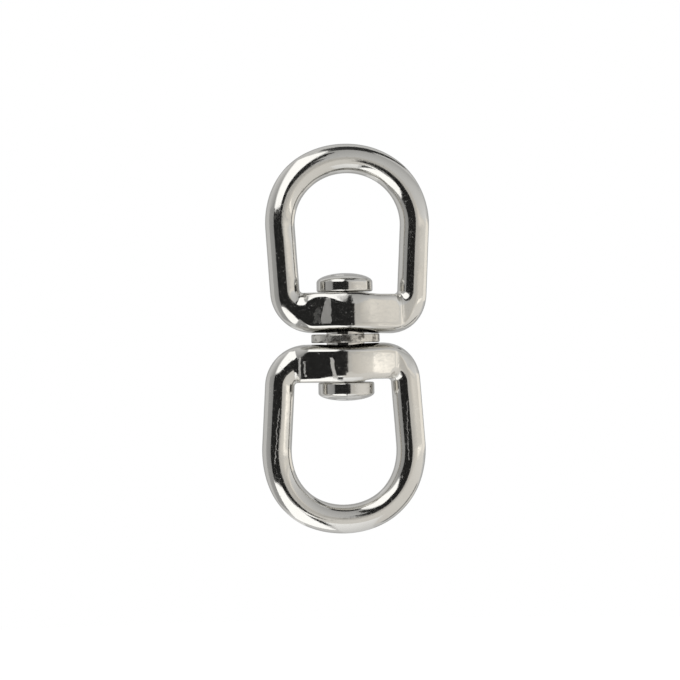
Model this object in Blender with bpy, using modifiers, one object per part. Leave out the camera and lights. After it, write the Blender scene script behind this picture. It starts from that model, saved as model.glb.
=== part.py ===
"""Anchor swivel: two round-bowed eyes that turn end to end on one riveted pin.

Metres, +Z up along the pin. The origin is the middle of the swivel, half way between the two yokes.
Both eyes lie in the XZ plane and -Y is the front.
"""

import math

import bmesh
import bpy
from mathutils import Vector

MM = 0.001

# The forged eyes
BAR_DIAMETER = 6.0 * MM  # round bar of the bow and the legs
EYE_WIDTH = 34.5 * MM  # outside, across the bow at its widest
EYE_LENGTH = 39.75 * MM  # from the yoke's outer face to the outside of the crown
LEG_TAPER = math.radians(3.1)  # how far each leg leans in towards the yoke
YOKE_HEIGHT = 8.4 * MM  # along the pin
YOKE_WALL = 2.7 * MM  # metal in front of and behind the bore
YOKE_STEP = 0.4 * MM  # how far the yoke's ends stand proud of the bar
YOKE_EDGE_RADIUS = 1.4 * MM
OUTER_CORNER_RADIUS = 10.5 * MM  # where a leg turns under into the yoke
INNER_CORNER_RADIUS = 0.8 * MM
SWELL_SPAN = (0.0, 0.5)  # stretch of the corner's turn in which the bar swells to the yoke's depth
SQUARE_SPAN = (0.35, 0.8)  # stretch in which the round section squares up

# The pin, its two collars and the washer between the yokes
PIN_DIAMETER = 8.0 * MM
PIN_SHOULDER = 1.25 * MM  # step in radius from the shank down to each tail
RIVET_SPREAD = 1.25 * MM  # how far each peened tail flares out in the collar
RIVET_ANGLE = math.radians(40.0)  # slope of that flare from the pin's axis
COLLAR_LIP = 1.6 * MM  # how far a collar reaches past the bore
COLLAR_HEIGHT = 3.75 * MM
COLLAR_DOME = 2.0 * MM  # the domed share of that height
WASHER_WIDTH = 2.9 * MM  # from its hole to its rim
WASHER_THICKNESS = 1.7 * MM
WASHER_RIM_RADIUS = 0.35 * MM

# Clearances and broken edges
RUNNING_CLEARANCE = 0.3 * MM  # each side of the pin in its bores
END_GAP = 0.3 * MM  # between each yoke and the washer or collar beside it
RIVET_GAP = 0.3 * MM  # between a collar and the pin's tail
BREAK = 0.25 * MM  # chamfer on turned edges and bore mouths

# How finely round shapes are divided
TURN_STEPS = 40
DOME_STEPS = 5
RIM_STEPS = 3
CROWN_STATIONS = 14
LEG_STATIONS = 3
CORNER_STEPS = 10
YOKE_STEPS = 5
EDGE_STEPS = 5  # points on each quarter of the bar's section
WELD_DISTANCE = 0.001 * MM
SHARP_ANGLE = math.radians(35.0)

# Sizes that follow from those above
BAR_RADIUS = BAR_DIAMETER / 2
PIN_RADIUS = PIN_DIAMETER / 2
TAIL_RADIUS = PIN_RADIUS - PIN_SHOULDER
RIVET_RADIUS = TAIL_RADIUS + RIVET_SPREAD
BORE_RADIUS = PIN_RADIUS + RUNNING_CLEARANCE
COLLAR_RADIUS = BORE_RADIUS + COLLAR_LIP
YOKE_OUTER_Z = WASHER_THICKNESS / 2 + END_GAP
YOKE_INNER_Z = YOKE_OUTER_Z + YOKE_HEIGHT
COLLAR_SEAT_Z = YOKE_INNER_Z + END_GAP
COLLAR_RIM_Z = COLLAR_SEAT_Z + COLLAR_HEIGHT - COLLAR_DOME
SHOULDER_Z = COLLAR_SEAT_Z - RIVET_GAP
BOW_RADIUS = EYE_WIDTH / 2
BOW_CENTRE_Z = YOKE_OUTER_Z + EYE_LENGTH - BOW_RADIUS
OPENING_RADIUS = BOW_RADIUS - BAR_DIAMETER
YOKE_HALF_DEPTH = BORE_RADIUS + YOKE_WALL
YOKE_END_DEPTH = BAR_RADIUS + YOKE_STEP


def clear_scene():
    for obj in list(bpy.data.objects):
        bpy.data.objects.remove(obj, do_unlink=True)


def new_collection(name):
    collection = bpy.data.collections.new(name)
    bpy.context.scene.collection.children.link(collection)
    return collection


def metal(name, colour, roughness):
    material = bpy.data.materials.new(name)
    material.use_nodes = True
    shader = material.node_tree.nodes["Principled BSDF"]
    shader.inputs["Base Color"].default_value = (*colour, 1.0)
    shader.inputs["Metallic"].default_value = 1.0
    shader.inputs["Roughness"].default_value = roughness
    return material


def smoothstep(low, high, value):
    share = min(max((value - low) / (high - low), 0.0), 1.0)
    return share * share * (3 - 2 * share)


def add_object(name, mesh, collection, material, axis):
    obj = bpy.data.objects.new(name, mesh)
    collection.objects.link(obj)
    obj.parent = axis
    if material and not mesh.materials:
        mesh.materials.append(material)
    return obj


def profile_mesh(name, profile, closed):
    """A chain of edges through (radius, height) points, for a Screw modifier to turn."""
    mesh = bpy.data.meshes.new(name)
    count = len(profile)
    edges = [(i, i + 1) for i in range(count - 1)]
    if closed:
        edges.append((count - 1, 0))
    mesh.from_pydata([(radius, 0.0, height) for radius, height in profile], edges, [])
    return mesh


def turn(obj):
    screw = obj.modifiers.new("turned", "SCREW")
    screw.angle = math.tau
    screw.steps = TURN_STEPS
    screw.render_steps = TURN_STEPS
    screw.use_merge_vertices = True
    screw.merge_threshold = WELD_DISTANCE
    screw.use_smooth_shade = True


def outline(radius, corner, yoke_z):
    """Right half of one eye outline in the XZ plane, from the crown's middle to the yoke's middle.

    Returns (kind, share along that stretch, point) for each station.
    """
    stations = []
    sweep = math.pi / 2 + LEG_TAPER
    for index in range(CROWN_STATIONS):
        angle = math.pi / 2 - sweep * (index + 0.5) / (CROWN_STATIONS - 0.5)
        offset = Vector((math.cos(angle), math.sin(angle))) * radius
        stations.append(("bow", 0.0, Vector((0.0, BOW_CENTRE_Z)) + offset))

    # The corner's arc touches both the leaning leg and the level yoke.
    corner_z = yoke_z + corner
    leg_reach = radius - corner + math.sin(LEG_TAPER) * (corner_z - BOW_CENTRE_Z)
    corner_centre = Vector((leg_reach / math.cos(LEG_TAPER), corner_z))
    arc = []
    for index in range(CORNER_STEPS + 1):
        share = index / CORNER_STEPS
        angle = -LEG_TAPER - share * (math.pi / 2 - LEG_TAPER)
        offset = Vector((math.cos(angle), math.sin(angle))) * corner
        arc.append(("corner", share, corner_centre + offset))

    leg_top = stations[-1][2]
    leg_foot = arc[0][2]
    for index in range(1, LEG_STATIONS + 1):
        share = index / (LEG_STATIONS + 1)
        stations.append(("bow", 0.0, leg_top.lerp(leg_foot, share)))
    stations += arc

    yoke_end = arc[-1][2]
    yoke_middle = Vector((0.0, yoke_z))
    for index in range(1, YOKE_STEPS + 1):
        stations.append(("yoke", 1.0, yoke_end.lerp(yoke_middle, index / YOKE_STEPS)))
    return stations


def yoke_depth(x, end_x):
    """Half the yoke's depth at x: a shallow arc in plan that settles into the bar past its ends."""
    lens = YOKE_END_DEPTH + (YOKE_HALF_DEPTH - YOKE_END_DEPTH) * (1 - (x / end_x) ** 2)
    proud = lens - BAR_RADIUS
    return BAR_RADIUS + (proud + math.hypot(proud, YOKE_STEP)) / 2


def section(inner, outer, kind, share, end_x):
    """Ring of points round the metal at one station: a round bar, or a yoke with rounded edges."""
    middle = (inner + outer) / 2
    half_width = (outer - inner).length / 2
    across = (outer - inner).normalized()
    squareness = 0.0 if kind == "bow" else smoothstep(*SQUARE_SPAN, share)
    swell = 0.0 if kind == "bow" else smoothstep(*SWELL_SPAN, share)
    edge = BAR_RADIUS + (YOKE_EDGE_RADIUS - BAR_RADIUS) * squareness
    edge = min(edge, half_width)
    ring = []
    for index in range(4 * EDGE_STEPS):
        angle = math.tau * (index + 0.5) / (4 * EDGE_STEPS)
        side = math.copysign(1.0, math.cos(angle))
        face = math.copysign(1.0, math.sin(angle))
        place = middle + across * (side * (half_width - edge) + edge * math.cos(angle))
        depth = BAR_RADIUS + (yoke_depth(place.x, end_x) - BAR_RADIUS) * swell
        ring.append((place.x, face * (depth - edge) + edge * math.sin(angle), place.y))
    return ring


def eye_mesh():
    """The bow and yoke of one eye, lofted round the closed loop between its two outlines."""
    inside = outline(OPENING_RADIUS, INNER_CORNER_RADIUS, YOKE_INNER_Z)
    outside = outline(BOW_RADIUS, OUTER_CORNER_RADIUS, YOKE_OUTER_Z)
    end_x = max(point.x for kind, share, point in inside if kind == "corner")
    rings = [
        section(near, far, kind, share, end_x)
        for (kind, share, near), (_, _, far) in zip(inside, outside)
    ]
    mirrored = [[(-x, y, z) for x, y, z in ring] for ring in rings[-2::-1]]
    rings += mirrored

    shape = bmesh.new()
    loops = [[shape.verts.new(point) for point in ring] for ring in rings]
    for ring, following in zip(loops, loops[1:] + loops[:1]):
        for index in range(len(ring)):
            after = (index + 1) % len(ring)
            shape.faces.new((ring[index], ring[after], following[after], following[index]))
    bmesh.ops.recalc_face_normals(shape, faces=shape.faces)
    mesh = bpy.data.meshes.new("eye")
    shape.to_mesh(mesh)
    shape.free()
    mesh.shade_smooth()
    mesh.set_sharp_from_angle(angle=SHARP_ANGLE)
    return mesh


def bore_profile():
    """Cutter for the bores of both yokes, with a broken edge at each mouth."""
    mouth = BORE_RADIUS + BREAK
    upper = [
        (0.0, YOKE_INNER_Z + COLLAR_HEIGHT),
        (mouth + COLLAR_HEIGHT, YOKE_INNER_Z + COLLAR_HEIGHT),
        (mouth, YOKE_INNER_Z),
        (BORE_RADIUS, YOKE_INNER_Z - BREAK),
        (BORE_RADIUS, YOKE_OUTER_Z + BREAK),
        (mouth, YOKE_OUTER_Z),
    ]
    return upper + mirror_profile(upper)


def mirror_profile(profile):
    """The same points below the middle, in order down the outer side."""
    return [(radius, -height) for radius, height in reversed(profile)]


def dome_z(radius):
    return COLLAR_RIM_Z + COLLAR_DOME * math.sqrt(1 - (radius / COLLAR_RADIUS) ** 2)


def pin_profile():
    """Shank, a shoulder for each collar, and tails peened out into the collars' countersinks."""
    upper = [
        (RIVET_RADIUS * index / DOME_STEPS, dome_z(RIVET_RADIUS * index / DOME_STEPS))
        for index in range(DOME_STEPS + 1)
    ]
    flare_foot = dome_z(RIVET_RADIUS) - RIVET_SPREAD / math.tan(RIVET_ANGLE)
    upper += [
        (TAIL_RADIUS, flare_foot),
        (TAIL_RADIUS, SHOULDER_Z),
        (PIN_RADIUS - BREAK, SHOULDER_Z),
        (PIN_RADIUS, SHOULDER_Z - BREAK),
    ]
    return upper + mirror_profile(upper)


def collar_profile():
    """Domed ring with a countersunk hole for the pin's peened tail."""
    hole = TAIL_RADIUS + RIVET_GAP
    sink = RIVET_RADIUS + RIVET_GAP / math.cos(RIVET_ANGLE)
    sink_foot = dome_z(RIVET_RADIUS) - (sink - hole) / math.tan(RIVET_ANGLE)
    start = math.acos(sink / COLLAR_RADIUS)
    profile = []
    for index in range(DOME_STEPS + 1):
        angle = start * (1 - index / DOME_STEPS)
        height = COLLAR_RIM_Z + COLLAR_DOME * math.sin(angle)
        profile.append((COLLAR_RADIUS * math.cos(angle), height))
    profile += [
        (COLLAR_RADIUS, COLLAR_SEAT_Z + BREAK),
        (COLLAR_RADIUS - BREAK, COLLAR_SEAT_Z),
        (hole, COLLAR_SEAT_Z),
        (hole, sink_foot),
    ]
    return profile


def washer_profile():
    """Flat ring with a rounded rim."""
    rim = BORE_RADIUS + WASHER_WIDTH
    half = WASHER_THICKNESS / 2
    upper = [(BORE_RADIUS, half)]
    for index in range(RIM_STEPS + 1):
        angle = math.pi / 2 * (1 - index / RIM_STEPS)
        radius = rim - WASHER_RIM_RADIUS * (1 - math.cos(angle))
        upper.append((radius, half - WASHER_RIM_RADIUS * (1 - math.sin(angle))))
    return upper + mirror_profile(upper)


def build():
    clear_scene()
    swivel = new_collection("anchor_swivel")
    cutters = new_collection("cutters")
    cutters.hide_render = True

    plated = metal("nickel_plated_steel", (0.66, 0.63, 0.57), 0.12)
    plain = metal("plain_steel", (0.52, 0.50, 0.47), 0.35)

    # Every piece turns about this axis, so every piece keeps its origin on it.
    axis = bpy.data.objects.new("swivel_axis", None)
    swivel.objects.link(axis)

    bore_mesh = profile_mesh("bore_cutter", bore_profile(), False)
    bore = add_object("bore_cutter", bore_mesh, cutters, None, axis)
    turn(bore)
    bore.hide_render = True
    bore.display_type = "WIRE"

    eye = eye_mesh()
    collar = profile_mesh("collar", collar_profile(), True)
    for side, flip in (("upper", 0.0), ("lower", math.pi)):
        eye_object = add_object(f"{side}_eye", eye, swivel, plated, axis)
        eye_object.rotation_euler.x = flip
        cut = eye_object.modifiers.new("pin_bore", "BOOLEAN")
        cut.operation = "DIFFERENCE"
        cut.solver = "EXACT"
        cut.object = bore

        collar_object = add_object(f"{side}_collar", collar, swivel, plated, axis)
        collar_object.rotation_euler.x = flip
        turn(collar_object)

    pin = profile_mesh("swivel_pin", pin_profile(), False)
    turn(add_object("swivel_pin", pin, swivel, plated, axis))
    washer = profile_mesh("thrust_washer", washer_profile(), True)
    turn(add_object("thrust_washer", washer, swivel, plain, axis))


build()
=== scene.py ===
# %% [markdown]
# # Anchor swivel: the looks
# The swivel is two forged eyes on a riveted pin. Its construction is already settled, so this lesson
# only dresses it: every piece is modelled again with a finer surface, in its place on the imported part,
# and gets the metal that the real one is made of.

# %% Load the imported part
import math
from dataclasses import dataclass

import bmesh
import bpy
from mathutils import Matrix, Vector, noise


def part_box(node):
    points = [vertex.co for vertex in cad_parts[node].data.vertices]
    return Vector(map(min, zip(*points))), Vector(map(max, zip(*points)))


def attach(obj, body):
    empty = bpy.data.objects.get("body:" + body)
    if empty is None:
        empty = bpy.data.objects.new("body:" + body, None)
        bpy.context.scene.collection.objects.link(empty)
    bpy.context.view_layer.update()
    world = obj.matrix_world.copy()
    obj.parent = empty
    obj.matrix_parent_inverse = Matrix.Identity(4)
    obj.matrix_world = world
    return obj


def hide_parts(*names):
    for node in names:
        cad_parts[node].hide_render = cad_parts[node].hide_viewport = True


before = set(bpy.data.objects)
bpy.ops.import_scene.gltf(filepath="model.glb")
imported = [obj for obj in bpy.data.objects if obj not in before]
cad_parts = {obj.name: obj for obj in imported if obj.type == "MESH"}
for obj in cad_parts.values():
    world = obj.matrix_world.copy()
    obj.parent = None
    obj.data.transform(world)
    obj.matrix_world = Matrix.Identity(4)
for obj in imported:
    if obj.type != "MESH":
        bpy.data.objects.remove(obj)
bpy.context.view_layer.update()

MM = 0.001
print("nodes:", sorted(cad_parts))

# %% [markdown]
# ## Camera
# The photograph looks level at the front, from a little to the left, through a long lens, and the
# swivel leans about one degree in it. The lens could be set by eye, but working it out from the scale
# of the picture is surer: the bar is 6 mm and 28.5 pixels thick, so one pixel is 0.2105 mm.

# %% Place the camera
PICTURE_PIXELS = 680
BAR_PIXELS = 28.5
BAR_MM = 6.0
PIXELS_PER_MM = BAR_PIXELS / BAR_MM
MIDDLE_PIXEL = (345.5, 337.8)
CAMERA_AZIMUTH = math.radians(-9.0)
CAMERA_ROLL = math.radians(-1.08)
CAMERA_DISTANCE = 0.42

lens_data = bpy.data.cameras.new("camera")
camera = bpy.data.objects.new("camera", lens_data)
bpy.context.scene.collection.objects.link(camera)
bpy.context.scene.camera = camera
picture_width = PICTURE_PIXELS / PIXELS_PER_MM * MM
lens_data.sensor_fit = "HORIZONTAL"
lens_data.lens = lens_data.sensor_width * CAMERA_DISTANCE / picture_width

towards_camera = Vector((math.sin(CAMERA_AZIMUTH), -math.cos(CAMERA_AZIMUTH), 0.0))
camera_right = Vector((math.cos(CAMERA_AZIMUTH), math.sin(CAMERA_AZIMUTH), 0.0))
aim = camera_right * (PICTURE_PIXELS / 2 - MIDDLE_PIXEL[0]) / PIXELS_PER_MM * MM
aim.z = (MIDDLE_PIXEL[1] - PICTURE_PIXELS / 2) / PIXELS_PER_MM * MM
facing = towards_camera.to_track_quat("Z", "Y").to_matrix().to_4x4()
camera.matrix_world = (
    Matrix.Translation(aim + towards_camera * CAMERA_DISTANCE)
    @ facing
    @ Matrix.Rotation(CAMERA_ROLL, 4, "Z")
)
print("lens in mm:", round(lens_data.lens, 1))

# %% [markdown]
# ## Sizes of the two forgings
# The two eyes came out of the same dies, yet no two forgings are quite alike: one leg bends a little
# sooner, one corner is rounder, a yoke sits a little askew. One mirrored shape could serve for both,
# but the small differences are what tells forged work from a drawing, so each eye has its own sizes.

# %% Sizes of the two forgings
RUNNING_GAP = 0.3 * MM
BAR_RADIUS = 3.1 * MM
WASHER_FACE_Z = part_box("thrust_washer")[1].z
YOKE_OUTER_Z = WASHER_FACE_Z + RUNNING_GAP


@dataclass
class Forging:
    """One eye as the dies left it, measured as if it were the upper one.

    A tuple holds a value for the left half and one for the right half, but a fade holds the places
    across the eye where something begins and where it is complete, and a span the shares of the corner.
    """

    half_width: float  # of the bow's outside
    rise: float  # of the crown above the middle of its ellipse
    length: float  # from the yoke's outer face to the crown
    crown_bar: float  # how thick the bar is at the crown
    leg_taper: float  # lean of the legs
    shoulders: tuple  # how much fuller than an ellipse the outside is
    inner_shoulder: float  # the same for the inside
    outer_corners: tuple  # radii
    yoke_heights: tuple
    yoke_slant: tuple  # fall of the outer face from left to right
    swell_spans: tuple  # where in the corner the bar swells to the yoke's depth
    fullness: tuple  # power of the yoke's curve in plan
    lens_overlap: tuple  # how far that curve runs on past the opening
    end_blend: tuple  # softness of the step where it ends
    worn_height: float  # height of the worn edge beside the opening
    worn_fade: tuple  # where that edge ends
    soft_inner_fade: tuple  # where the soft edges of the left end become crisp
    soft_outer_fade: tuple


UPPER = Forging(
    half_width=17.45 * MM,
    rise=16.9 * MM,
    length=39.8 * MM,
    crown_bar=6.2 * MM,
    leg_taper=math.radians(3.3),
    shoulders=(0.022, 0.008),
    inner_shoulder=0.0,
    outer_corners=(8.8 * MM, 8.3 * MM),
    yoke_heights=(8.5 * MM, 8.0 * MM),
    yoke_slant=(0.010, 0.032),
    swell_spans=((0.35, 0.75), (0.0, 0.5)),
    fullness=(1.5, 2.15),
    lens_overlap=(0.3 * MM, 0.5 * MM),
    end_blend=(0.4 * MM, 0.25 * MM),
    worn_height=2.6 * MM,
    worn_fade=(0.3 * MM, 3.5 * MM),
    soft_inner_fade=(-10.8 * MM, -6.5 * MM),
    soft_outer_fade=(-11.5 * MM, -9.0 * MM),
)
LOWER = Forging(
    half_width=17.4 * MM,
    rise=17.6 * MM,
    length=39.85 * MM,
    crown_bar=6.05 * MM,
    leg_taper=math.radians(3.8),
    shoulders=(0.03, 0.0165),
    inner_shoulder=0.022,
    outer_corners=(8.9 * MM, 8.2 * MM),
    yoke_heights=(7.95 * MM, 7.4 * MM),
    yoke_slant=(0.0, 0.022),
    swell_spans=((0.0, 0.5), (0.0, 0.5)),
    fullness=(1.82, 2.15),
    lens_overlap=(-0.6 * MM, 0.9 * MM),
    end_blend=(0.2 * MM, 0.25 * MM),
    worn_height=1.9 * MM,
    worn_fade=(0.0, 5.0 * MM),
    soft_inner_fade=(-11.5 * MM, -9.0 * MM),
    soft_outer_fade=(-10.8 * MM, -8.2 * MM),
)
print("yoke faces start at mm:", round(YOKE_OUTER_Z / MM, 2))

# %% [markdown]
# ## Outlines
# From the front an eye is two outlines, one round the outside and one round the opening. A curve
# object could draw them, but points from a formula keep the same count inside and outside, and that
# is what the loft in the next steps needs. Each outline runs crown, leg, corner, yoke.

# %% Outlines of the bow and the yoke
CROWN_STEPS = 56
LEG_STEPS = 14
CORNER_STEPS = 60
YOKE_STEPS = 26
STEP_DOWN = (1.0 * MM, 6.0 * MM)
SLANT_FADE = (2.0 * MM, 11.0 * MM)


def smoothstep(low, high, value):
    """0 up to low, 1 from high on, and a smooth rise between them."""
    share = min(max((value - low) / (high - low), 0.0), 1.0)
    return share * share * (3 - 2 * share)


def arc_points(centre, radius, start, end, steps):
    """Points on an arc in the XZ plane, both ends included."""
    angles = [start + (end - start) * index / steps for index in range(steps + 1)]
    return [centre + Vector((math.cos(a), math.sin(a))) * radius for a in angles]


def crown_points(half_width, rise, centre_z, taper, bulge):
    """A quarter of an ellipse, from the crown's middle to the leg, a little full at the shoulder."""
    end = -math.atan(math.tan(taper) * rise / half_width)
    points = []
    for index in range(CROWN_STEPS + 1):
        angle = math.pi / 2 + (end - math.pi / 2) * index / CROWN_STEPS
        full = 1 + bulge * math.sin(2 * angle) ** 2
        x = half_width * math.cos(angle) * full
        points.append(Vector((x, centre_z + rise * math.sin(angle) * full)))
    return points


def outline(crown, taper, corner, yoke_z, middle_z):
    """One half of an outline, from the crown's middle down to the yoke's middle."""
    leg_side = Vector((math.cos(taper), -math.sin(taper))).dot(crown[-1])
    corner_z = yoke_z + corner
    corner_x = (leg_side - corner + math.sin(taper) * corner_z) / math.cos(taper)
    turn = arc_points(Vector((corner_x, corner_z)), corner, -taper, -math.pi / 2, CORNER_STEPS)
    leg = [crown[-1].lerp(turn[0], index / LEG_STEPS) for index in range(1, LEG_STEPS)]
    yoke = []
    for index in range(1, YOKE_STEPS + 1):
        x = corner_x * (1 - index / YOKE_STEPS)
        yoke.append(Vector((x, middle_z + (yoke_z - middle_z) * smoothstep(*STEP_DOWN, x))))
    return crown + leg + turn + yoke


def slanted(point, slant):
    """Tilt the yoke's outer face, fading out up the leg."""
    fade = 1 - smoothstep(*SLANT_FADE, point.y)
    return Vector((point.x, point.y - slant * point.x * fade))


def turn_share(index):
    """How far round the corner a station is: 0 on the bow and leg, 1 on the yoke."""
    return min(max((index - CROWN_STEPS - LEG_STEPS) / CORNER_STEPS, 0.0), 1.0)


STATIONS = CROWN_STEPS + LEG_STEPS + CORNER_STEPS + YOKE_STEPS
print("stations down each side:", STATIONS + 1)

# %% [markdown]
# ## Sections
# Cut the eye anywhere and the section is round on the bow and nearly square on the yoke, with one
# soft belly edge towards the washer and a tighter edge towards the opening. A bar and a block could be
# modelled apart and joined, but that leaves a seam. A rounded rectangle whose edges may grow until it
# is a circle gives every section with one function.

# %% Sections with two kinds of edge
SECTION_POINTS = 18
EDGE_WEIGHT = 2.5


def quarter_section(half_width, half_depth, edge_height, edge_depth):
    """A quarter of a rounded rectangle, with most of its points on the rounded edge."""
    side = half_depth - edge_depth
    bend = (edge_height + edge_depth) / 2 * math.pi / 2 * EDGE_WEIGHT
    top = half_width - edge_height
    points = []
    for index in range(SECTION_POINTS + 1):
        walk = (side + bend + top) * index / SECTION_POINTS
        if walk < side:
            points.append((half_width, walk))
        elif walk < side + bend:
            angle = (walk - side) / bend * math.pi / 2
            points.append((top + edge_height * math.cos(angle), side + edge_depth * math.sin(angle)))
        else:
            points.append((max(top - (walk - side - bend), 0.0), half_depth))
    return points


def whole_section(half_width, half_depth, outer_edge, inner_edge):
    """All round: the outer half turns with one edge and the half beside the opening with another."""
    outer = quarter_section(half_width, half_depth, *outer_edge)
    inner = [(-u, v) for u, v in quarter_section(half_width, half_depth, *inner_edge)]
    upper = outer + inner[-2::-1]
    lower = [(u, -v) for u, v in upper[1:-1]][::-1]
    return upper + lower


print("points round each section:", 4 * SECTION_POINTS)

# %% [markdown]
# ## Depth of the yoke
# Seen from above, the yoke is a shallow lens that ends in a small step on the legs. An arc could draw
# the lens, but a power curve can be made fuller or leaner for each half, and a smooth maximum of the
# lens and the bar makes the step as soft as it is on the forging.

# %% Depth of the yoke
YOKE_HALF_DEPTH = 7.0 * MM
END_PROUD = 0.4 * MM
YOKE_END_DEPTH = BAR_RADIUS + END_PROUD
END_ROUND = 1.2 * MM


def yoke_depth(x, end_x, fullness, blend, drop):
    """Half the yoke's depth at x, which steps down into the bar near end_x."""
    lens = YOKE_END_DEPTH + (YOKE_HALF_DEPTH - YOKE_END_DEPTH) * (1 - (abs(x) / end_x) ** fullness)
    past = min(max((abs(x) - end_x + END_ROUND) / END_ROUND, 0.0), 1.0)
    proud = lens - drop * (1 - math.sqrt(1 - past * past)) - BAR_RADIUS
    return BAR_RADIUS + (proud + math.hypot(proud, blend)) / 2


print("yoke depth in mm:", round(2 * YOKE_HALF_DEPTH / MM, 1), "to", round(2 * YOKE_END_DEPTH / MM, 1))

# %% [markdown]
# ## Edges of the yoke
# The edge beside the opening is worn round at the yoke's middle and at its right end, and the left end
# runs softly into the bar. Edges could be bevelled when the eye is done, but a bevel has one width, so
# here each station gets the two edges that it has on the real yoke.

# %% One ring of points round the metal
END_DROP = (0.0, 0.4 * MM)
SQUARE_SPAN = (0.35, 0.8)
INNER_EDGE = (1.0 * MM, 1.2 * MM)
WORN_SPAN = (-5.5 * MM, -1.5 * MM)
END_WORN_SPAN = 2.8 * MM
END_WORN_EDGE = (2.8 * MM, 2.0 * MM)
BELLY_EDGE = (1.6 * MM, 4.6 * MM)
FACE_DRAFT = math.tan(math.radians(2.6))


def eye_ring(forging, inner, outer, share, end_x, side):
    """Points round the metal at one station; side is 1 for the right half and -1 for the left."""
    which = 0 if side < 0 else 1
    middle = (inner + outer) / 2
    half_width = (outer - inner).length / 2
    across = (outer - inner).normalized()
    place_x = side * middle.x
    square = smoothstep(*SQUARE_SPAN, share)
    inner_square = outer_square = square
    if side < 0:
        inner_square *= smoothstep(*forging.soft_inner_fade, place_x)
        outer_square *= smoothstep(*forging.soft_outer_fade, place_x)
    swell = smoothstep(*forging.swell_spans[which], share)

    def depth_at(x):
        shape = (forging.fullness[which], forging.end_blend[which], END_DROP[which])
        return BAR_RADIUS + (yoke_depth(x, end_x, *shape) - BAR_RADIUS) * swell

    middle_depth = depth_at(middle.x)

    def edge(height, depth, squareness):
        tall = BAR_RADIUS + (height - BAR_RADIUS) * squareness
        deep = BAR_RADIUS + (depth - BAR_RADIUS) * squareness
        return min(tall, half_width), min(deep, middle_depth)

    worn = smoothstep(*WORN_SPAN, place_x) * (1 - smoothstep(*forging.worn_fade, place_x))
    inner_height = INNER_EDGE[0] + (forging.worn_height - INNER_EDGE[0]) * worn
    inner_depth = INNER_EDGE[1]
    if side > 0:
        end_worn = smoothstep(end_x - END_WORN_SPAN, end_x, middle.x)
        inner_height += (END_WORN_EDGE[0] - inner_height) * end_worn
        inner_depth += (END_WORN_EDGE[1] - inner_depth) * end_worn
    outer_edge = edge(*BELLY_EDGE, outer_square)
    inner_edge = edge(inner_height, inner_depth, inner_square)
    ring = []
    for u, v in whole_section(half_width, middle_depth, outer_edge, inner_edge):
        place = middle + across * u
        draft = 1 + FACE_DRAFT * square * u / middle_depth
        ring.append(Vector((side * place.x, v * draft * depth_at(place.x) / middle_depth, place.y)))
    return ring


print("height and depth of the belly edge in mm:", [round(v / MM, 1) for v in BELLY_EDGE])

# %% [markdown]
# ## Loft
# A forged eye starts as round bar, bent into a bow, with the two ends brought together in a thick
# yoke. A curve with a bevel would give the bow but not the yoke, and a union of two solids would leave
# a hard seam. A loft keeps one skin: a ring at each station, joined to the next one all the way round.

# %% Loft the eyes
INNER_CORNER_RADIUS = 0.8 * MM


def mesh_from_rings(name, rings):
    """Join rings of equal count into one closed loop of faces."""
    shape = bmesh.new()
    loops = [[shape.verts.new(point) for point in ring] for ring in rings]
    for ring, after in zip(loops, loops[1:] + loops[:1]):
        for index in range(len(ring)):
            step = (index + 1) % len(ring)
            shape.faces.new((ring[index], ring[step], after[step], after[index]))
    bmesh.ops.recalc_face_normals(shape, faces=shape.faces)
    mesh = bpy.data.meshes.new(name)
    shape.to_mesh(mesh)
    shape.free()
    return mesh


def half_rings(forging, side):
    """Rings from the crown's middle to the yoke's middle, down one side."""
    which = 0 if side < 0 else 1
    centre_z = YOKE_OUTER_Z + forging.length - forging.rise
    taper = forging.leg_taper
    inner_width = forging.half_width - 2 * BAR_RADIUS
    inner_rise = forging.rise - forging.crown_bar
    far = crown_points(forging.half_width, forging.rise, centre_z, taper, forging.shoulders[which])
    near = crown_points(inner_width, inner_rise, centre_z, taper, forging.inner_shoulder)
    inner_z = YOKE_OUTER_Z + forging.yoke_heights[which]
    middle_z = YOKE_OUTER_Z + forging.yoke_heights[0]
    outside = outline(far, taper, forging.outer_corners[which], YOKE_OUTER_Z, YOKE_OUTER_Z)
    outside = [slanted(point, forging.yoke_slant[which] * side) for point in outside]
    inside = outline(near, taper, INNER_CORNER_RADIUS, inner_z, middle_z)
    lens_end = inside[CROWN_STEPS + LEG_STEPS].x + forging.lens_overlap[which]
    return [
        eye_ring(forging, inner, outer, turn_share(index), lens_end, side)
        for index, (inner, outer) in enumerate(zip(inside, outside))
    ]


def eye_mesh(name, forging):
    """Right half, then the left half back up to the crown, without the two rings that they share."""
    left = half_rings(forging, -1)
    return mesh_from_rings(name, half_rings(forging, 1) + left[-2:0:-1])


upper_mesh = eye_mesh("upper_eye_forging", UPPER)
lower_mesh = eye_mesh("lower_eye_forging", LOWER)
print("eye faces before boring:", len(upper_mesh.polygons), len(lower_mesh.polygons))

# %% [markdown]
# ## Hammered skin
# Forging and polishing by hand leave the bar a little uneven, and bright metal shows that in the edge
# of every reflection. A bump in the material could bend the reflections alone, but a noise that moves
# the skin itself by hundredths of a millimetre is there from every side and in the exported mesh.

# %% Hammered skin
WAVE_HEIGHT = 0.02 * MM
WAVE_LENGTH = 5.0 * MM
UPPER_NOISE_START = 0.0
LOWER_NOISE_START = 37.0


def hammer(mesh, noise_start):
    """Move the skin in and out a little, and say how far at most."""
    shift = Vector((noise_start, 0, 0))
    moves = []
    for vertex in mesh.vertices:
        moves.append(vertex.normal * WAVE_HEIGHT * noise.noise(vertex.co / WAVE_LENGTH + shift))
    for vertex, move in zip(mesh.vertices, moves):
        vertex.co += move
    return max(move.length for move in moves)


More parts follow.
